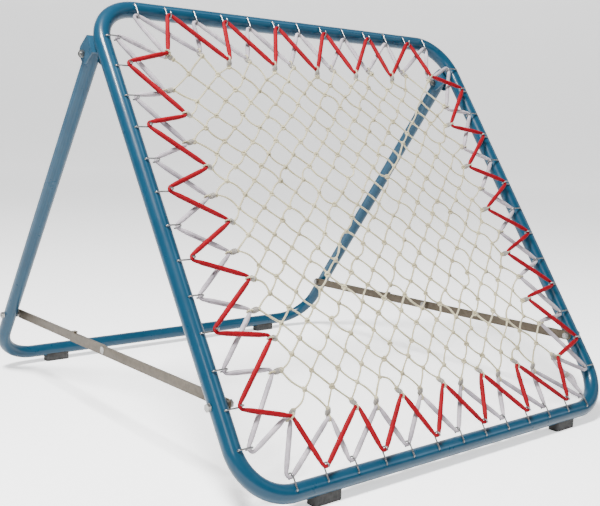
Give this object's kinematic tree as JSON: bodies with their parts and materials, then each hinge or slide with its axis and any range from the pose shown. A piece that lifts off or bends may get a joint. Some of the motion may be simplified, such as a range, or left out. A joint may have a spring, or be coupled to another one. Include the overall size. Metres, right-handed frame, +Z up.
{
  "type": "rebound frame",
  "caption": "Inclined square tube frame with a knotted net laced on by two elastic cords over wire hooks, held up by a folding U-shaped rear support and two folding stays",
  "frame": {"origin": "Middle of the footprint on the floor, under the middle of the object's box", "axes": "+Z up, +Y from the net side to the rear support, X across the frame"},
  "size_m": [1.0206, 1.094, 0.8438],
  "materials": {
    "blue_paint": "glossy powder coat",
    "stay_zinc": "flat zinc-plated strap, dull",
    "foot_rubber": "matt black rubber",
    "black_plastic": "moulded, matt",
    "net_twine": "cream twisted twine",
    "red_cord": "braided red cover over elastic",
    "white_cord": "braided off-white cover over elastic",
    "hook_wire": "galvanised wire",
    "bush": "moulded, natural",
    "bright_steel": "zinc-plated fasteners"
  },
  "bodies": {
    "front_frame": {"cord_hooks_bottom": "hook_wire", "cord_hooks_left": "hook_wire", "cord_hooks_right": "hook_wire", "cord_hooks_top": "hook_wire", "front_foot_left": "foot_rubber", "front_foot_left_screw": "bright_steel", "front_foot_right": "foot_rubber", "front_foot_right_screw": "bright_steel", "front_frame_tube": "blue_paint", "hinge_bolt_left": "bright_steel", "hinge_bolt_right": "bright_steel", "hinge_bracket_left": "blue_paint", "hinge_bracket_right": "blue_paint", "hinge_nut_left": "bright_steel", "hinge_nut_right": "bright_steel", "net": "net_twine", "red_elastic_cord": "red_cord", "stay_front_bolt_left": "bright_steel", "stay_front_bolt_right": "bright_steel", "stay_front_nut_left": "bright_steel", "stay_front_nut_right": "bright_steel", "stay_front_washer_left": "bright_steel", "stay_front_washer_right": "bright_steel", "white_elastic_cord": "white_cord"},
    "rear_support": {"hinge_bush_left": "bush", "hinge_bush_right": "bush", "leg_cap_left": "black_plastic", "leg_cap_right": "black_plastic", "rear_foot_left": "foot_rubber", "rear_foot_left_screw": "bright_steel", "rear_foot_right": "foot_rubber", "rear_foot_right_screw": "bright_steel", "rear_support_tube": "blue_paint", "stay_rear_bolt_left": "bright_steel", "stay_rear_bolt_right": "bright_steel", "stay_rear_nut_left": "bright_steel", "stay_rear_nut_right": "bright_steel", "stay_rear_spacer_left": "bright_steel", "stay_rear_spacer_right": "bright_steel"},
    "stay_front_left": {"stay_front_link_left": "stay_zinc", "stay_rivet_outer_left": "bright_steel"},
    "stay_front_right": {"stay_front_link_right": "stay_zinc", "stay_rivet_outer_right": "bright_steel"},
    "stay_rear_left": {"stay_rear_link_left": "stay_zinc", "stay_rivet_inner_left": "bright_steel"},
    "stay_rear_right": {"stay_rear_link_right": "stay_zinc", "stay_rivet_inner_right": "bright_steel"}
  },
  "joints": [
    {"name": "support_fold", "type": "hinge", "parent": "front_frame", "child": "rear_support", "pos_m": [0, 0.01222, 0.73546], "axis": [-1, 0, 0], "range_deg": [0, 66]},
    {"name": "stay_front_fold_left", "type": "hinge", "parent": "front_frame", "child": "stay_front_left", "pos_m": [-0.4635, -0.43798, 0.16516], "axis": [1, 0, 0], "range_deg": [0, 50.16]},
    {"name": "stay_rear_fold_left", "type": "hinge", "parent": "rear_support", "child": "stay_rear_left", "pos_m": [-0.4635, 0.4424, 0.15064], "axis": [-1, 0, 0], "range_deg": [0, 49.61]},
    {"name": "stay_front_fold_right", "type": "hinge", "parent": "front_frame", "child": "stay_front_right", "pos_m": [0.4635, -0.43798, 0.16516], "axis": [1, 0, 0], "range_deg": [0, 50.16]},
    {"name": "stay_rear_fold_right", "type": "hinge", "parent": "rear_support", "child": "stay_rear_right", "pos_m": [0.4635, 0.4424, 0.15064], "axis": [-1, 0, 0], "range_deg": [0, 49.61]}
  ],
  "couplings": [
    {"joint": "stay_front_fold_left", "follows": "support_fold", "ratio": 0.7599},
    {"joint": "stay_rear_fold_left", "follows": "support_fold", "ratio": 0.7515},
    {"joint": "stay_front_fold_right", "follows": "support_fold", "ratio": 0.7599},
    {"joint": "stay_rear_fold_right", "follows": "support_fold", "ratio": 0.7515}
  ]
}
